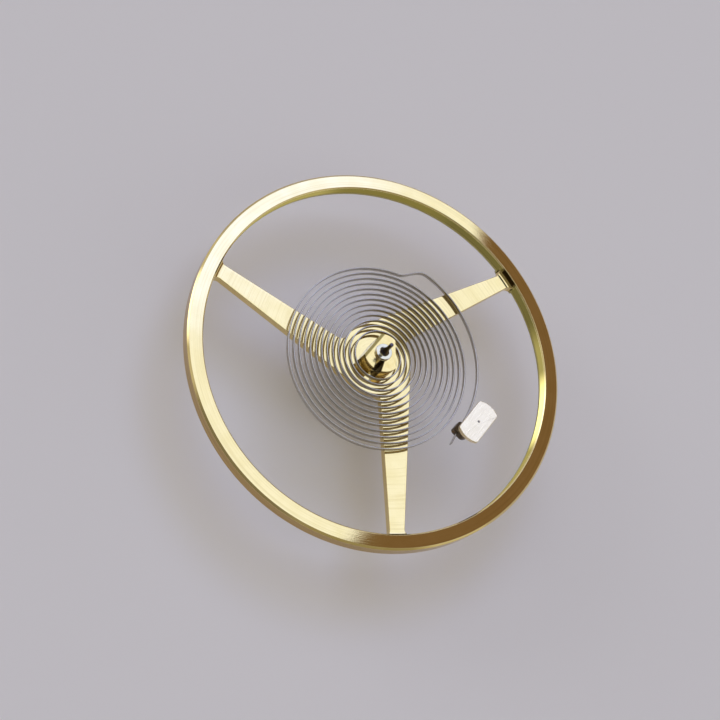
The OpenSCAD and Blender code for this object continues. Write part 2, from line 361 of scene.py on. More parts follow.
def circle(r, count, centre):
    """Points of a circle about a centre."""
    return [tuple(Vector(centre) + polar(r, 360 * k / count)) for k in range(count)]


# Wheel

def arm_line(side):
    """Start, direction and outward normal of one side of an arm that runs along +X."""
    a = Vector((0, ARM_OFFSET + side * ARM_HUB_HALF))
    b = Vector((RIM_IN, ARM_OFFSET + side * ARM_W / 2))
    d = (b - a).normalized()
    return a, d, side * Vector((-d.y, d.x))


def fillet_centre(side, f, reach):
    """Centre of a fillet of radius f beside an arm, at a distance from the staff's axis."""
    a, d, n = arm_line(side)
    q = a + f * n
    b = q.dot(d)
    return q + (math.sqrt(b * b - q.dot(q) + reach * reach) - b) * d


def arm_edge(side, r):
    """Point and outward normal of an arm's side at a distance from the staff's axis."""
    a, d, n = arm_line(side)
    b = a.dot(d)
    on_line = a + (math.sqrt(b * b - a.dot(a) + r * r) - b) * d
    c = fillet_centre(side, ARM_FILLET, RIM_IN - ARM_FILLET)
    if (on_line - c).dot(d) <= 0:
        return on_line, n
    reach = min(r, RIM_IN)
    cr = c.length
    along = (reach * reach - ARM_FILLET ** 2 + cr * cr) / (2 * cr)
    across = math.sqrt(max(0.0, reach * reach - along * along))
    e = c / cr
    p = along * e - across * side * Vector((-e.y, e.x))
    normal = (c - p).normalized()
    return (p if r <= RIM_IN else p * (r / RIM_IN)), normal


def arm_surface(r):
    """Height of the arm's top at a distance from the axis: it turns up into the rim's wall."""
    x = r - (RIM_IN - RECESS_FILLET)
    if x <= 0:
        return ARM_TOP
    x = min(x, RECESS_FILLET * 0.9999)
    return ARM_TOP + RECESS_FILLET - math.sqrt(RECESS_FILLET ** 2 - x * x)


def wheel_outline():
    """The outline of hub and arms, as (point, normal, height), and each arm's two sides in it."""
    steps = 24
    end_steps = 26
    fillet_steps = 12
    stations = [ARM_ROOT + (RIM_IN - ARM_END_L - ARM_ROOT) * k / steps for k in range(steps)]
    stations += [RIM_IN - ARM_END_L * math.cos(math.pi / 2 * k / end_steps) for k in range(end_steps + 1)]
    stations.append(ARM_TIP)
    outline = []
    arms = []
    for i in range(ARM_COUNT):
        turn = ARM_ANGLE + i * 360 / ARM_COUNT
        start = len(outline)
        c = fillet_centre(-1, HUB_FILLET, HUB_R + HUB_FILLET)
        n = arm_line(-1)[2]
        a = heading(-c)
        sweep = shorter_turn(a, heading(-n))
        for k in range(fillet_steps + 1):
            p = polar(HUB_FILLET, a + sweep * k / fillet_steps)
            outline.append((c + p, -p.normalized(), ARM_TOP))
        narrow = []
        for r in stations:
            p, n = arm_edge(-1, r)
            narrow.append(len(outline))
            outline.append((p, n, arm_surface(r)))
        wide = []
        for r in reversed(stations):
            p, n = arm_edge(1, r)
            wide.append(len(outline))
            outline.append((p, n, arm_surface(r)))
        a, d, n = arm_line(1)
        leave = heading(a - 2 * a.dot(d) * d)
        to = heading(fillet_centre(-1, HUB_FILLET, HUB_R + HUB_FILLET)) + 360 / ARM_COUNT
        for k in range(steps):
            p = polar(1, leave + (to - leave) * k / steps)
            outline.append((HUB_R * p, p, ARM_TOP))
        spin = Matrix.Rotation(math.radians(turn), 2)
        for k in range(start, len(outline)):
            p, n, z = outline[k]
            outline[k] = (spin @ p, spin @ n, z)
        arms.append((narrow, wide[::-1]))
    return outline, arms


def make_spider(across=10):
    """Hub and arms in one mesh, with rounded edges and a top that turns up into the rim."""
    outline, arms = wheel_outline()
    rows = [(ARM_EDGE * (1 - math.sin(math.radians(t))), ARM_EDGE * (1 - math.cos(math.radians(t))))
            for t in (0, 30, 60, 90)]
    verts = []
    columns = []
    for p, n, z in outline:
        column = []
        for inset, rise in rows:
            column.append(len(verts))
            verts.append((*(p - inset * n), WHEEL_Z + rise))
        for inset, rise in reversed(rows):
            column.append(len(verts))
            verts.append((*(p - inset * n), z - rise))
        columns.append(column)

    # Side walls, one strip of faces between two columns of points
    faces = []
    count = len(columns)
    for i in range(count):
        a, b = columns[i], columns[(i + 1) % count]
        for k in range(len(a) - 1):
            faces.append([a[k], b[k], b[k + 1], a[k + 1]])

    # Tops and undersides of the arms, as ladders between the matching points of their two sides
    used = set()
    root_rows = {}
    for narrow, wide in arms:
        used.update(narrow)
        used.update(wide)
        ladder = []
        for i, j in zip(narrow, wide):
            pair = []
            for level, z in ((-1, outline[i][2]), (0, WHEEL_Z)):
                p = Vector(verts[columns[i][level]][:2])
                q = Vector(verts[columns[j][level]][:2])
                ap, aq = heading(p), heading(q)
                sweep = shorter_turn(ap, aq)
                row = [columns[i][level]]
                for k in range(1, across):
                    t = k / across
                    r = p.length + (q.length - p.length) * t
                    row.append(len(verts))
                    verts.append((*polar(r, ap + sweep * t), z))
                row.append(columns[j][level])
                pair.append(row)
            ladder.append(pair)
        root_rows[narrow[0]] = ladder[0]
        for low, high in zip(ladder, ladder[1:]):
            for k in range(across):
                faces.append([low[0][k], high[0][k], high[0][k + 1], low[0][k + 1]])
                faces.append([low[1][k], low[1][k + 1], high[1][k + 1], high[1][k]])

    # The hub's top and underside, one face each, that take in the arms' first rungs
    hub_top = []
    hub_base = []
    for i in range(count):
        if i in root_rows:
            hub_top += root_rows[i][0]
            hub_base += root_rows[i][1]
        elif i not in used:
            hub_top.append(columns[i][-1])
            hub_base.append(columns[i][0])
    faces.append(hub_top)
    faces.append(hub_base[::-1])
    return new_object("wheel_arms", verts, faces)


def make_rim():
    """The rim, with small radii on its edges and a top that falls a little towards the outside."""
    profile = [
        (RIM_IN, WHEEL_Z + RIM_INNER_BASE), (RIM_IN + RIM_INNER_BASE, WHEEL_Z),
        (RIM_R - RIM_CHAMFER, WHEEL_Z), (RIM_R, WHEEL_Z + RIM_CHAMFER),
        (RIM_R, RIM_TOP - RIM_FALL - RIM_CHAMFER), (RIM_R - RIM_CHAMFER, RIM_TOP - RIM_FALL),
        (RIM_IN + RIM_INNER_EDGE, RIM_TOP), (RIM_IN, RIM_TOP - RIM_INNER_EDGE)]
    rounded = round_profile(profile, [RIM_EDGE] * len(profile))
    return lathe("wheel_rim", rounded, count=480, closed=True)


# Staff

def trumpet(r_from, r_to, length, steps=16):
    """Points of a cone with a hollow side, as (distance along the axis, radius)."""
    return [(length * t, r_from + (r_to - r_from) * t * t) for t in (k / steps for k in range(1, steps + 1))]


def make_staff():
    """The staff from its lower pivot's tip upwards, each corner as (radius, height, rounding)."""
    lower = [(r, PIVOT_L + z, 0) for z, r in trumpet(PIVOT_R, ROLLER_SEAT_R, LOWER_CONE_L)]
    upper = [(r, SHOULDER_TOP + CONE_L - z, 0) for z, r in trumpet(PIVOT_R, CONE_FOOT_R, CONE_L)]
    corners = [
        (0, 0, 0), (PIVOT_R, 0, PIVOT_EDGE), (PIVOT_R, PIVOT_L, 0), *lower,
        (ROLLER_SEAT_R, FLANGE_Z, 0),
        (FLANGE_R, FLANGE_Z, FLANGE_EDGE), (FLANGE_R, WHEEL_Z, FLANGE_EDGE),
        (WHEEL_SEAT_R, WHEEL_Z, 0), (WHEEL_SEAT_R, ARM_TOP, 0),
        (RIVET_R, ARM_TOP, 0), (RIVET_R, COLLET_Z, RIVET_EDGE),
        (COLLET_SEAT_R, COLLET_Z, 0), (COLLET_SEAT_R, COLLET_TOP, COLLET_SEAT_EDGE),
        (SHOULDER_R, COLLET_TOP, 0), (SHOULDER_R, SHOULDER_TOP, SHOULDER_EDGE),
        *reversed(upper), (PIVOT_R, STAFF_L, PIVOT_EDGE), (0, STAFF_L, 0)]
    profile = round_profile([(r, z) for r, z, _ in corners], [edge for _, _, edge in corners])
    return lathe("staff", profile, count=96)


# Roller and jewel

def at_jewel(obj):
    """Turns a piece that was built on the X axis to the jewel's side."""
    obj.data.transform(Matrix.Rotation(math.radians(JEWEL_ANGLE), 4, "Z"))
    return obj


def jewel_outline(shrink=0.0):
    """The jewel's D shape, flat towards the outside."""
    r = JEWEL_HALF - shrink
    x = JEWEL_HALF / 2 - shrink
    limit = math.degrees(math.acos(x / r))
    steps = 28
    return [tuple(Vector((JEWEL_R, 0)) + polar(r, limit + (360 - 2 * limit) * k / steps))
            for k in range(steps + 1)]


def make_roller():
    """The table with the jewel's hole, and under it the safety roller with its crescent."""
    profile = [(ROLLER_SEAT_R, SAFETY_Z), (SAFETY_R, SAFETY_Z), (SAFETY_R, SAFETY_Z + SAFETY_H),
               (NECK_R, SAFETY_Z + SAFETY_H), (NECK_R, TABLE_Z), (TABLE_R, TABLE_Z), (TABLE_R, FLANGE_Z),
               (ROLLER_SEAT_R, FLANGE_Z)]
    roller = lathe("roller", profile, count=160, closed=True)
    hole = at_jewel(prism("hole", jewel_outline(), TABLE_Z - PAST, FLANGE_Z + PAST))
    crescent = prism("crescent", circle(CRESCENT_R, 48, (SAFETY_R + CRESCENT_R / 3, 0)), SAFETY_Z - PAST,
                     SAFETY_Z + SAFETY_H + PAST_NEAR)
    cut_with(roller, [hole, at_jewel(crescent)])
    round_edges(roller, ROLLER_EDGE)
    return roller


def make_jewel():
    jewel = at_jewel(prism("jewel", jewel_outline(JEWEL_PLAY), TABLE_Z - JEWEL_DROP, FLANGE_Z + JEWEL_RISE))
    round_edges(jewel, JEWEL_EDGE, angle=40)
    return jewel


def make_jewel_cement():
    """A lumpy ring of cement on the table, round the jewel."""
    count = 72
    steps = 8
    inside = JEWEL_HALF * 0.4
    verts = []
    for k in range(count):
        a = 360 * k / count
        lump = noise.noise(Vector((*polar(2, a), 4)))
        reach = JEWEL_HALF + CEMENT_RING * (1 - CEMENT_LUMP + CEMENT_LUMP * lump)
        for s in range(steps + 1):
            t = s / steps
            r = inside + (reach - inside) * t
            z = FLANGE_Z + JEWEL_RISE * 0.5 * math.sqrt(max(0.0, 1 - t ** 3))
            verts.append((*(Vector((JEWEL_R, 0)) + polar(r, a)), z))
    row = steps + 1
    faces = [[k * row + s, ((k + 1) % count) * row + s, ((k + 1) % count) * row + s + 1, k * row + s + 1]
             for k in range(count) for s in range(steps)]
    return at_jewel(new_object("jewel_cement_ring", verts, faces))


# Collet

def collet_outline():
    """The collet seen from above: a bored disc with two flats and a slot, open at the slot."""
    slot = COLLET_ANGLE + 180
    flats = [slot - COLLET_FLAT_TURN, slot + COLLET_FLAT_TURN]
    half = COLLET_SLOT_W / 2
    first = math.degrees(math.asin(half / COLLET_R))
    outer = []
    count = 240
    for k in range(count + 1):
        a = slot + first + (360 - 2 * first) * k / count
        p = polar(COLLET_R, a)
        for f in flats:
            along = p.dot(polar(1, f))
            if along > COLLET_FLAT:
                p = p * (COLLET_FLAT / along)
        outer.append(p)
    inside = math.degrees(math.asin(half / COLLET_SEAT_R))
    bore = 96
    inner = [polar(COLLET_SEAT_R, slot + inside + (360 - 2 * inside) * k / bore) for k in range(bore + 1)]
    return [tuple(p) for p in outer + inner[::-1]]


def across_collet(name, r, d, length):
    """A cylinder at the ribbon's height, across the collet at a distance from the staff's axis."""
    obj = rod(name, (r, 0, SPRING_MID + INNER_RISE), (0, 1, 0), d / 2, length)
    obj.data.transform(Matrix.Rotation(math.radians(COLLET_ANGLE), 4, "Z"))
    return obj


def make_collet():
    """The collet with the ribbon's hole through it."""
    collet = prism("collet_body", collet_outline(), COLLET_Z, COLLET_TOP)
    cut_with(collet, [across_collet("hole", HOLE_MID, COLLET_HOLE_D, length=3)])
    round_edges(collet, COLLET_EDGE, angle=28)
    return collet


def make_collet_pin():
    """The pin that holds the ribbon, ending at the collet's flat on one side."""
    pin = across_collet("pin_for_spring", PIN_MID, COLLET_PIN_D, COLLET_PIN_L)
    pin.data.transform(Matrix.Translation((*polar(COLLET_PIN_SHIFT, COLLET_ANGLE - 90), 0)))
    round_edges(pin, COLLET_PIN_EDGE, angle=60)
    return pin


# Hairspring: u counts degrees clockwise along the ribbon from its inner end

def azimuth(u):
    """Direction from the staff's axis at a place along the ribbon."""
    return COLLET_ANGLE + U_INNER - u


def coil_point(u):
    """The even coils, which drift a little to one side towards the outside."""
    progress = max(0.0, (u - U_COIL) / (U_ELBOW - U_COIL))
    return (polar(COIL_R + COIL_PITCH * (u - U_COIL) / 360, azimuth(u))
            + COIL_DRIFT * progress ** 2 * polar(1, COIL_DRIFT_ANGLE))


def curve_point(u):
    """The last curve outside the coils, up to the ribbon's tail behind the stud."""
    close = CURVE_CLOSE * min(1.0, (u - U_CURVE) / (U_STUD - U_CURVE))
    return polar(CURVE_R - close + TAIL_BEND * max(0.0, u - U_STUD) / SPRING_TAIL, azimuth(u))


def spring_point(u):
    """Middle of the ribbon seen from above: straight along the pin, then coiled, then the last curve."""
    if u < U_COIL:
        leave = ease(u, U_LEAVE, U_COIL)
        pinned = LINE_R / math.cos(math.radians(u - U_INNER))
        return (1 - leave) * polar(pinned, azimuth(u)) + leave * coil_point(u)
    step = ease(u, U_ELBOW, U_CURVE)
    return (1 - step) * coil_point(u) + step * curve_point(u)


def spring_height(u):
    """Middle of the ribbon in height: loose, it droops outward, most of all in its last curve."""
    lowest = U_STUD - ARM_ANGLE
    rise = INNER_RISE * (1 - ease(u, 0, U_ELBOW))
    rise += (-CURVE_SAG - rise) * ease(u, U_ELBOW - SAG_LEAD, lowest)
    rise += CURVE_SAG * ease(u, lowest + SAG_HOLD, U_STUD - SAG_STOP)
    return SPRING_MID + rise


def make_hairspring(step=2.0, corner=0.004):
    """The ribbon, as a loft of small rounded sections, and each point's share of the whole length."""
    count = math.ceil(U_END / step)
    places = [U_END * k / count for k in range(count + 1)]
    half_t = SPRING_T / 2
    half_h = SPRING_H / 2
    section = [(half_t - corner, -half_h), (half_t, -half_h + corner), (half_t, half_h - corner),
               (half_t - corner, half_h)]
    section += [(-x, -z) for x, z in section]
    middle = [spring_point(u) for u in places]
    lengths = [0.0]
    for before, p in zip(middle, middle[1:]):
        lengths.append(lengths[-1] + (p - before).length)
    verts = []
    for u, p in zip(places, middle):
        d = spring_point(u + 0.5) - spring_point(u - 0.5)
        n = Vector((-d.y, d.x)).normalized()
        for x, z in section:
            verts.append((*(p + x * n), spring_height(u) + z))
    size = len(section)
    faces = []
    for i in range(count):
        for k in range(size):
            a, b = i * size + k, i * size + (k + 1) % size
            faces.append([a, b, b + size, a + size])
    faces.append(list(range(size))[::-1])
    faces.append([count * size + k for k in range(size)])
    shares = [length / lengths[-1] for length in lengths for _ in range(size)]
    return new_object("spring_ribbon", verts, faces), shares


# Stud

def head_outline():
    """A disc with two flats, all four corners rounded."""
    y = math.sqrt((HEAD_R - HEAD_CORNER) ** 2 - (HEAD_HALF - HEAD_CORNER) ** 2)
    c = Vector((HEAD_HALF - HEAD_CORNER, y))
    a = heading(c)
    corner, arc = 8, 24
    end = [c + polar(HEAD_CORNER, a * k / corner) for k in range(corner + 1)]
    end += [polar(HEAD_R, a + (180 - 2 * a) * k / arc) for k in range(1, arc)]
    end += [Vector((-c.x, c.y)) + polar(HEAD_CORNER, 180 - a + a * k / corner) for k in range(corner + 1)]
    return [(STUD_X + p.x, p.y) for p in end + [-p for p in end]]


def make_stud():
    """The stud's head with its centre mark, its neck, and its foot with the ribbon's hole."""
    head = prism("stud_body", head_outline(), HEAD_TOP - HEAD_H, HEAD_TOP)
    mark = lathe("mark", [(0, HEAD_TOP - MARK_DEPTH), (MARK_R, HEAD_TOP), (MARK_R, HEAD_TOP + PAST),
                          (0, HEAD_TOP + PAST)], count=32)
    mark.data.transform(Matrix.Translation((STUD_X, 0, 0)))
    cut_with(head, [mark])
    round_edges(head, HEAD_EDGE, angle=40)

    base = FOOT_Z + SUNK
    under = HEAD_TOP - HEAD_H
    neck = lathe("neck", [(0, base), (STUD_NECK_R, base), (STUD_NECK_R, under - NECK_FLARE),
                          (STUD_NECK_R + NECK_FLARE / 3, under - NECK_FLARE / 3),
                          (STUD_NECK_R + NECK_FLARE, under + SUNK), (0, under + SUNK)], count=64)
    neck.data.transform(Matrix.Translation((STUD_X, 0, 0)))

    x = STUD_R - FOOT_WALL
    y = FOOT_L / 2
    c = FOOT_CHAMFER
    outline = [(x, c - y), (x + c, -y), (STUD_X, -y), (STUD_X, y), (x + c, y), (x, y - c)]
    foot = prism("foot", outline, FOOT_Z, FOOT_TOP)
    cut_with(foot, [rod("hole", (STUD_R, 0, SPRING_MID), (0, 1, 0), FOOT_HOLE_D / 2, length=1)])
    round_edges(foot, FOOT_EDGE)
    return head, neck, foot


def make_stud_cement():
    """Cement in the foot's hole, with an uneven bead at each face."""
    verts = []
    faces = []
    around = 40
    stations = [(-1, t) for t in range(90, -1, -15)] + [(1, t) for t in range(0, 91, 15)]
    for side, t in stations:
        y = side * (FOOT_L / 2 + BEAD_L * math.sin(math.radians(t)))
        r = CEMENT_R * math.cos(math.radians(t))
        for k in range(around):
            p = polar(1, 360 * k / around)
            lump = 1 + BEAD_LUMP * noise.noise(Vector((2.2 * p.x, 2.2 * p.y, 30 * y)))
            verts.append((STUD_R + p.x * r * lump, y, SPRING_MID + p.y * r * lump))
    for s in range(len(stations) - 1):
        for k in range(around):
            a, b = s * around + k, s * around + (k + 1) % around
            faces.append([a, b, b + around, a + around])
    return new_object("stud_cement_beads", verts, faces)


def join(obj, others):
    """Adds the other objects' meshes to the first one, without welding them."""
    bm = bmesh.new()
    bm.from_mesh(obj.data)
    for other in others:
        bm.from_mesh(other.data)
        bpy.data.objects.remove(other)
    bm.to_mesh(obj.data)
    bm.free()
    return obj


def place(obj, node, body, material):
    """Dresses a finished mesh and lets it stand for its CAD node."""
    obj.data.materials.clear()
    obj.data.materials.append(material)
    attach(obj, body)
    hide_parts(node)


# Materials

class Nodes:
    """A short way to write a material's nodes."""

    def __init__(self, name):
        self.material = bpy.data.materials.new(name)
        self.material.use_nodes = True
        self.tree = self.material.node_tree
        self.shader = self.tree.nodes["Principled BSDF"]

    def add(self, kind, inputs=None, **settings):
        node = self.tree.nodes.new(kind)
        for key, value in settings.items():
            setattr(node, key, value)
        for key, value in (inputs or {}).items():
            self.put(node.inputs[key], value)
        return node

    def put(self, socket, value):
        if isinstance(value, bpy.types.NodeSocket):
            self.tree.links.new(value, socket)
        else:
            socket.default_value = value

    def math(self, operation, a, b=0.0):
        node = self.add("ShaderNodeMath", operation=operation)
        self.put(node.inputs[0], a)
        self.put(node.inputs[1], b)
        return node.outputs[0]

    def noise(self, vector, scale, detail=2.0, roughness=0.5):
        inputs = {"Vector": vector, "Scale": scale, "Detail": detail, "Roughness": roughness}
        node = self.add("ShaderNodeTexNoise", inputs)
        return node.outputs["Fac"]

    def range(self, value, low, high, to_low, to_high):
        """Maps a value between low and high to a value between two others, and holds it outside."""
        inputs = {"Value": value, "From Min": low, "From Max": high, "To Min": to_low, "To Max": to_high}
        node = self.add("ShaderNodeMapRange", inputs, clamp=True)
        return node.outputs["Result"]

    def mix(self, factor, a, b):
        node = self.add("ShaderNodeMix", data_type="RGBA")
        self.put(node.inputs["Factor"], factor)
        self.put(node.inputs[6], a)
        self.put(node.inputs[7], b)
        return node.outputs[2]

    def position(self):
        """The surface point in millimetres, at rest."""
        coords = self.add("ShaderNodeTexCoord").outputs["Object"]
        scaled = self.add("ShaderNodeVectorMath", {"Vector": coords, "Scale": 1 / MM}, operation="SCALE")
        return scaled.outputs[0]

    def parts(self, vector):
        """The three numbers of a vector."""
        return self.add("ShaderNodeSeparateXYZ", {"Vector": vector}).outputs

    def upward(self):
        """How much the surface looks up or down, from 0 for a wall to 1 for a level face."""
        normal = self.add("ShaderNodeTexCoord").outputs["Normal"]
        return self.math("ABSOLUTE", self.parts(normal)[2])

    def along(self, direction):
        """Distance of the surface point from the staff's axis, along a level direction."""
        inputs = {0: self.position(), 1: (direction.x, direction.y, 0)}
        return self.add("ShaderNodeVectorMath", inputs, operation="DOT_PRODUCT").outputs["Value"]

    def turned(self):
        """The surface point as (radius, angle, height), for grain that runs round the axis."""
        x, y, z = self.parts(self.position())
        radius = self.math("SQRT", self.math("ADD", self.math("MULTIPLY", x, x), self.math("MULTIPLY", y, y)))
        angle = self.math("ARCTAN2", y, x)
        return self.add("ShaderNodeCombineXYZ", {"X": radius, "Y": angle, "Z": z}).outputs[0]

    def bump(self, height, strength, distance, normal=None):
        inputs = {"Height": height, "Strength": strength, "Distance": distance * MM}
        if normal is not None:
            inputs["Normal"] = normal
        return self.add("ShaderNodeBump", inputs).outputs[0]

    def dress(self, colour, roughness, normal, metallic=1.0):
        """Sets what every shader needs and returns the finished material."""
        self.put(self.shader.inputs["Base Color"], colour)
        self.put(self.shader.inputs["Metallic"], metallic)
        self.put(self.shader.inputs["Roughness"], roughness)
        self.put(self.shader.inputs["Normal"], normal)
        return self.material


def rgb(r, g, b):
    return (r, g, b, 1.0)


def stretched(nodes, vector, x, y, z):
    return nodes.add("ShaderNodeVectorMath", {0: vector, 1: (x, y, z)}, operation="MULTIPLY").outputs[0]


def wheel_gold():
    """Gilt brass with fine turned grain, painted shade on the walls and in the corners over the arms' ends,
    and a worn inner edge.
    """
    n = Nodes("wheel_gold")
    turned = n.turned()
    radius, angle, height = n.parts(turned)

    # Full at the middle of each arm's end, and less to both sides of it
    arm_tip = ARM_ANGLE + math.degrees(math.asin(ARM_OFFSET / RIM_IN))
    from_tip = n.math("SUBTRACT", angle, math.radians(arm_tip))
    spoke = n.math("COSINE", n.math("MULTIPLY", from_tip, ARM_COUNT))
    beside_arm, on_arm = 0.980, 0.990
    between_arms = n.range(spoke, beside_arm, on_arm, 1, 0)

    # The rim's two walls
    wall = n.range(n.upward(), 0.2, 0.5, 1, 0)
    inner_wall = n.math("MULTIPLY", n.range(radius, RIM_IN - 0.02, RIM_IN - 0.01, 0, 1),
                        n.math("MULTIPLY", wall, n.range(radius, RIM_IN + 0.04, RIM_IN + 0.06, 1, 0)))
    outer_wall = n.math("MULTIPLY", wall, n.range(radius, RIM_R - 0.02, RIM_R - 0.01, 0, 1))

    grain = n.noise(stretched(n, turned, 60, 1.2, 60), 1.0, detail=4, roughness=0.6)
    streaks = n.noise(stretched(n, turned, 16, 1.0, 16), 1.0, detail=3, roughness=0.7)
    patches = n.noise(n.position(), 2.2, detail=3)
    pits = n.noise(n.position(), 38, detail=2)
    colour = n.mix(n.range(patches, 0.35, 0.65, 0, 1), rgb(0.84, 0.675, 0.32), rgb(0.80, 0.635, 0.28))
    colour = n.mix(n.range(grain, 0.55, 0.8, 0, 0.35), colour, rgb(0.68, 0.49, 0.18))
    colour = n.mix(n.range(streaks, 0.5, 0.7, 0, 0.5), colour, rgb(0.66, 0.50, 0.20))

    # Painted shade on the rim's walls: olive on the inner wall, darker towards its foot, and brown on the
    # outer one
    upper = n.range(height, RIM_TOP - 0.33, RIM_TOP - 0.24, 0, 1)
    inner_wall_shade = n.mix(upper, rgb(0.48, 0.43, 0.17), rgb(0.70, 0.60, 0.20))
    inner_wall_shade = n.mix(n.range(grain, 0.35, 0.65, 0, 0.4), inner_wall_shade, rgb(0.44, 0.36, 0.10))
    colour = n.mix(inner_wall, colour, inner_wall_shade)
    brown = n.mix(n.range(grain, 0.35, 0.65, 0, 1), rgb(0.66, 0.46, 0.18), rgb(0.42, 0.27, 0.085))
    colour = n.mix(outer_wall, colour, brown)

    # Painted shade in the corner over each arm's end
    corner = n.math("MULTIPLY", n.range(radius, RIM_IN - 0.06, RIM_IN - 0.04, 0, 1),
                    n.range(radius, RIM_IN + 0.015, RIM_IN + 0.03, 1, 0))
    corner = n.math("MULTIPLY", corner, n.range(height, ARM_TOP + 0.03, ARM_TOP + 0.06, 0, 1))
    corner = n.math("MULTIPLY", corner, n.range(spoke, beside_arm, on_arm, 0, 1))
    colour = n.mix(corner, colour, rgb(0.07, 0.045, 0.012))

    roughness = n.math("ADD", n.range(grain, 0.3, 0.7, 0.005, 0.03), n.range(pits, 0.4, 0.7, 0.0, 0.02))
    bump = n.bump(grain, 0.08, 0.002)
    bump = n.bump(pits, 0.05, 0.002, bump)

    # The inner wall leans back towards its worn top, except over the arms
    worn_h = 0.30
    worn = n.math("MULTIPLY", inner_wall, n.range(height, RIM_TOP - worn_h, RIM_TOP, 1, 0))
    return n.dress(colour, roughness, n.bump(worn, between_arms, worn_h, bump))


def polished_brass():
    """Polished brass, with painted shade inside the collet's slot and along one of its flats."""
    n = Nodes("collet_gold")
    turned = n.turned()
    grain = n.noise(stretched(n, turned, 50, 2, 50), 1.0, detail=3)
    patches = n.noise(n.position(), 5, detail=2)
    colour = n.mix(n.range(patches, 0.35, 0.65, 0, 1), rgb(0.84, 0.66, 0.28), rgb(0.78, 0.58, 0.22))
    # Painted shade inside the collet's slot
    slot = polar(1, COLLET_ANGLE + 180)
    beside = n.math("ABSOLUTE", n.along(Vector((-slot.y, slot.x))))
    slot_shade = n.math("MULTIPLY", n.range(beside, COLLET_SLOT_W / 2 + 0.002, COLLET_SLOT_W / 2 + 0.02, 1, 0),
                 n.range(n.along(slot), 0.1, 0.2, 0, 1))
    colour = n.mix(slot_shade, colour, rgb(0.07, 0.045, 0.015))
    # Painted shade along one of the collet's flats, as a dark line
    flat = polar(1, COLLET_ANGLE + 180 - COLLET_FLAT_TURN)
    flat_shade = n.range(n.along(flat), COLLET_FLAT - 0.085, COLLET_FLAT - 0.065, 0, 0.85)
    colour = n.mix(flat_shade, colour, rgb(0.16, 0.11, 0.02))
    return n.dress(colour, n.range(grain, 0.3, 0.7, 0.10, 0.18), n.bump(grain, 0.12, 0.003))


def steel(name, light, dark, rough_low, rough_high, dark_above=None):
    """Bare steel with grain round its axis, painted dark above a height, if one is given, as a painted dark
    reflection.
    """
    n = Nodes(name)
    grain = n.noise(stretched(n, n.turned(), 55, 1.5, 55), 1.0, detail=3)
    patches = n.noise(n.position(), 6, detail=2)
    colour = n.mix(n.range(patches, 0.35, 0.65, 0, 1), rgb(*light), rgb(*dark))
    if dark_above is not None:
        # Painted dark reflection above the given height
        above = n.range(n.parts(n.position())[2], dark_above + 0.004, dark_above + 0.02, 0, 1)
        dark_reflection = n.mix(n.range(grain, 0.35, 0.65, 0, 1), rgb(0.13, 0.11, 0.12), rgb(0.07, 0.06, 0.07))
        colour = n.mix(above, colour, dark_reflection)
    return n.dress(colour, n.range(grain, 0.3, 0.7, rough_low, rough_high), n.bump(grain, 0.1, 0.003))


def spring_steel():
    """The ribbon's grey alloy, a little warmer on its edges."""
    n = Nodes("spring_ribbon_steel")
    edge = n.range(n.upward(), 0.5, 0.8, 0, 1)
    grain = n.noise(stretched(n, n.turned(), 70, 1.5, 90), 1.0, detail=3)
    sides = n.mix(n.range(grain, 0.35, 0.65, 0, 1), rgb(0.54, 0.50, 0.45), rgb(0.44, 0.41, 0.36))
    edges = n.mix(n.range(grain, 0.35, 0.65, 0, 1), rgb(0.54, 0.50, 0.42), rgb(0.44, 0.41, 0.35))
    return n.dress(n.mix(edge, sides, edges), n.range(grain, 0.3, 0.7, 0.20, 0.32), n.bump(grain, 0.1, 0.002))


def satin_stud():
    """Pale satin steel with fine grain in one direction, with painted shade on the foot and in the centre
    mark.
    """
    n = Nodes("stud_satin")
    grain = n.noise(stretched(n, n.position(), 45, 4, 10), 1.0, detail=3)
    patches = n.noise(n.position(), 4, detail=2)
    colour = n.mix(n.range(patches, 0.35, 0.65, 0, 1), rgb(0.98, 0.85, 0.60), rgb(0.94, 0.81, 0.56))
    height = n.parts(n.position())[2]
    # Painted shade on the foot and the bottom of the neck, under the head
    colour = n.mix(n.range(height, FOOT_TOP, FOOT_TOP + 0.06, 1, 0), colour, rgb(0.10, 0.075, 0.045))
    # Painted shade in the centre mark's hollow
    centre = n.add("ShaderNodeVectorMath", {0: n.position(), 1: (STUD_X, 0, HEAD_TOP)}, operation="DISTANCE")
    mark = n.range(centre.outputs["Value"], MARK_R * 0.8, MARK_R * 1.1, 1, 0)
    colour = n.mix(mark, colour, rgb(0.22, 0.18, 0.13))
    return n.dress(colour, n.range(grain, 0.3, 0.7, 0.24, 0.32), n.bump(grain, 0.06, 0.003))


def ruby():
    """Polished synthetic ruby."""
    n = Nodes("ruby_red")
    cloud = n.noise(n.position(), 9, detail=2)
    colour = n.mix(n.range(cloud, 0.35, 0.65, 0, 1), rgb(0.62, 0.03, 0.10), rgb(0.48, 0.015, 0.06))
    n.shader.inputs["IOR"].default_value = 1.76
    n.shader.inputs["Coat Weight"].default_value = 0.5
    n.shader.inputs["Coat Roughness"].default_value = 0.03
    return n.dress(colour, 0.06, n.bump(cloud, 0.03, 0.002), metallic=0.0)


def shellac():
    """Hard brown cement, cloudy and uneven."""
    n = Nodes("shellac_brown")
    cloud = n.noise(n.position(), 14, detail=3)
    colour = n.mix(n.range(cloud, 0.35, 0.65, 0, 1), rgb(0.14, 0.075, 0.03), rgb(0.05, 0.03, 0.015))
    n.shader.inputs["IOR"].default_value = 1.52
    return n.dress(colour, n.range(cloud, 0.3, 0.7, 0.22, 0.38), n.bump(cloud, 0.3, 0.006), metallic=0.0)


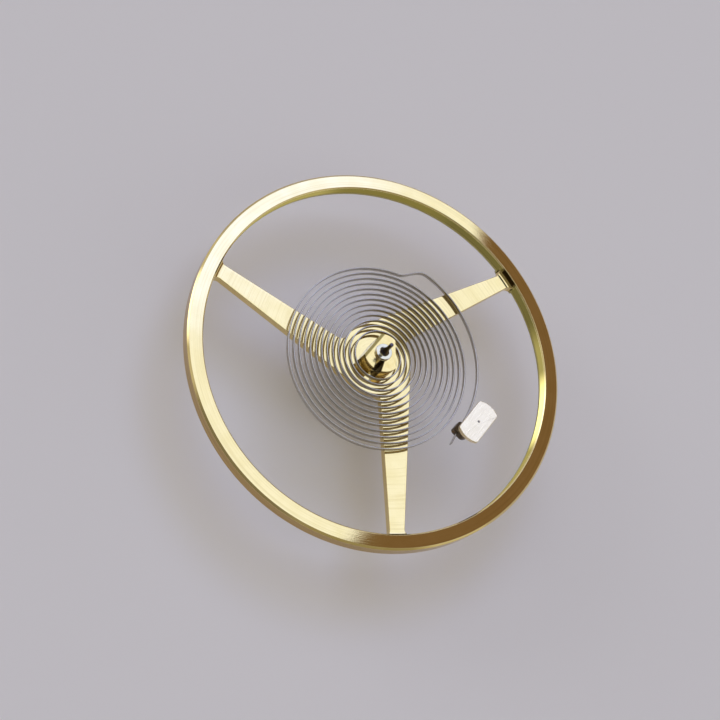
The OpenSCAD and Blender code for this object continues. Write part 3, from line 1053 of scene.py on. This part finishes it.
wheel_material = wheel_gold()
collet_material = polished_brass()
staff_material = steel("staff_polished", (0.68, 0.62, 0.46), (0.62, 0.56, 0.41), 0.04, 0.08,
                       dark_above=SHOULDER_TOP)
roller_material = steel("roller_satin", (0.68, 0.69, 0.72), (0.60, 0.61, 0.65), 0.18, 0.28)
spring_material = spring_steel()
stud_material = satin_stud()
ruby_material = ruby()
cement_material = shellac()

# Pieces

wheel = join(finish_mesh(make_rim()), [finish_mesh(make_spider())])
wheel.name = "wheel"
place(wheel, "balance_wheel", "balance", wheel_material)
place(finish_mesh(make_staff()), "balance_staff", "balance", staff_material)
place(finish_mesh(make_roller()), "double_roller", "balance", roller_material)
place(finish_mesh(make_jewel()), "impulse_jewel", "balance", ruby_material)
place(finish_mesh(make_jewel_cement()), "jewel_cement", "balance", cement_material)
place(finish_mesh(make_collet()), "collet", "balance", collet_material)
place(finish_mesh(make_collet_pin()), "collet_pin", "balance", collet_material)
head, neck, foot = make_stud()
stud = join(finish_mesh(head), [finish_mesh(neck), finish_mesh(foot)])
place(stud, "stud", "stud", stud_material)
place(finish_mesh(make_stud_cement()), "stud_cement", "stud", cement_material)

spring, spring_shares = make_hairspring()
spring.data.shade_smooth()
spring.data.set_sharp_from_angle(angle=math.radians(60))
spring.data.transform(Matrix.Scale(MM, 4))
spring.data.materials.append(spring_material)
spring_height(U_END) * MM
spring_height(0) * MM
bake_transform(spring)
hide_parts("hairspring")

# Floor, light and camera

FLOOR_HALF = 1200
floor = new_object("floor", [(x * FLOOR_HALF, y * FLOOR_HALF, 0)
                             for x, y in ((-1, -1), (1, -1), (1, 1), (-1, 1))], [[0, 1, 2, 3]])
floor.data.transform(Matrix.Scale(MM, 4))
floor_look = Nodes("floor_pale")
floor_look.shader.inputs["Base Color"].default_value = rgb(0.88, 0.83, 0.79)
floor_look.shader.inputs["Roughness"].default_value = 0.9
floor_look.shader.inputs["Specular IOR Level"].default_value = 0.1
floor.data.materials.append(floor_look.material)


def aim(around, up):
    """The unit vector from the object towards a place in the room."""
    flat = polar(math.cos(math.radians(up)), around)
    return Vector((flat.x, flat.y, math.sin(math.radians(up))))


# The horizon: elevations where it starts to fade and has faded, and its colour
HORIZON = (2, 14, (0.64, 0.63, 0.61))
# Colour of the room above it
ROOM = (0.62, 0.605, 0.56)
# Soft lights and dark places in the room:
# azimuth, elevation, radius that is full, radius where it ends, colour and strength
ROOM_PATCHES = [
    (108, 24, 20, 28, (0.17, 0.15, 0.11)),
    (58, 66, 14, 24, (0.20, 0.165, 0.09)),
    (58, 46, 20, 28, (0.22, 0.145, 0.09)),
    (115.3, 61.9, 24.0, 24.8, (1.17, 1.32, 1.80)),
    (113, 54, 9, 16, (1.30, 1.55, 2.80)),
    (320, 22, 20, 34, (0.34, 0.32, 0.24)),
    (256, 36, 26, 40, (0.24, 0.23, 0.20)),
    (252, 60, 10, 20, (0.16, 0.13, 0.08)),
    (182, 17, 4, 19, (2.6, 2.7, 3.0)),
]


def make_world():
    """A soft room, pale at the horizon, with soft lights of different size and a few darker places."""
    world = bpy.data.worlds.new("room")
    world.use_nodes = True
    tree = world.node_tree
    direction = tree.nodes.new("ShaderNodeTexCoord").outputs["Generated"]

    def blend(mask, low, high, below, above):
        """Mixes two colours by a smooth step of mask from low to high."""
        step = tree.nodes.new("ShaderNodeMapRange")
        step.interpolation_type = "SMOOTHSTEP"
        step.inputs["From Min"].default_value = low
        step.inputs["From Max"].default_value = high
        tree.links.new(mask, step.inputs["Value"])
        mix = tree.nodes.new("ShaderNodeMix")
        mix.data_type = "RGBA"
        tree.links.new(step.outputs["Result"], mix.inputs["Factor"])
        if isinstance(below, bpy.types.NodeSocket):
            tree.links.new(below, mix.inputs[6])
        else:
            mix.inputs[6].default_value = rgb(*below)
        mix.inputs[7].default_value = rgb(*above)
        return mix.outputs[2]

    def towards(target):
        """Cosine of the angle to a direction in the room."""
        dot = tree.nodes.new("ShaderNodeVectorMath")
        dot.operation = "DOT_PRODUCT"
        tree.links.new(direction, dot.inputs[0])
        dot.inputs[1].default_value = target
        return dot.outputs["Value"]

    low, high, horizon = HORIZON
    upward = towards((0, 0, 1))
    colour = blend(upward, math.sin(math.radians(low)), math.sin(math.radians(high)), horizon, ROOM)
    for around, up, full, end, light in ROOM_PATCHES:
        colour = blend(towards(aim(around, up)), math.cos(math.radians(end)), math.cos(math.radians(full)),
                       colour, light)
    tree.links.new(colour, tree.nodes["Background"].inputs["Color"])
    bpy.context.scene.world = world


make_world()

CAMERA_TARGET = Vector((-0.309, -0.460, 1.95))
CAMERA_AZIMUTH = 264.12
CAMERA_ELEVATION = 60.11
CAMERA_DISTANCE = 49.84
CAMERA_ROLL = 47.03
CAMERA_NEAR = 1
CAMERA_FAR = 5000
LENS = 100
SENSOR = 36


def make_camera():
    """The camera of the photograph's view, turned about its own axis to match it."""
    data = bpy.data.cameras.new("camera")
    data.lens = LENS
    data.sensor_width = SENSOR
    data.clip_start = CAMERA_NEAR * MM
    data.clip_end = CAMERA_FAR * MM
    camera = bpy.data.objects.new("camera", data)
    away = aim(CAMERA_AZIMUTH, CAMERA_ELEVATION)
    camera.location = (CAMERA_TARGET + CAMERA_DISTANCE * away) * MM
    turn = (-away).to_track_quat("-Z", "Y")
    roll = Matrix.Rotation(math.radians(CAMERA_ROLL), 3, "Z").to_quaternion()
    camera.rotation_euler = (turn @ roll).to_euler()
    bpy.context.scene.collection.objects.link(camera)
    bpy.context.scene.camera = camera


make_camera()
bpy.context.scene.view_settings.view_transform = "Standard"
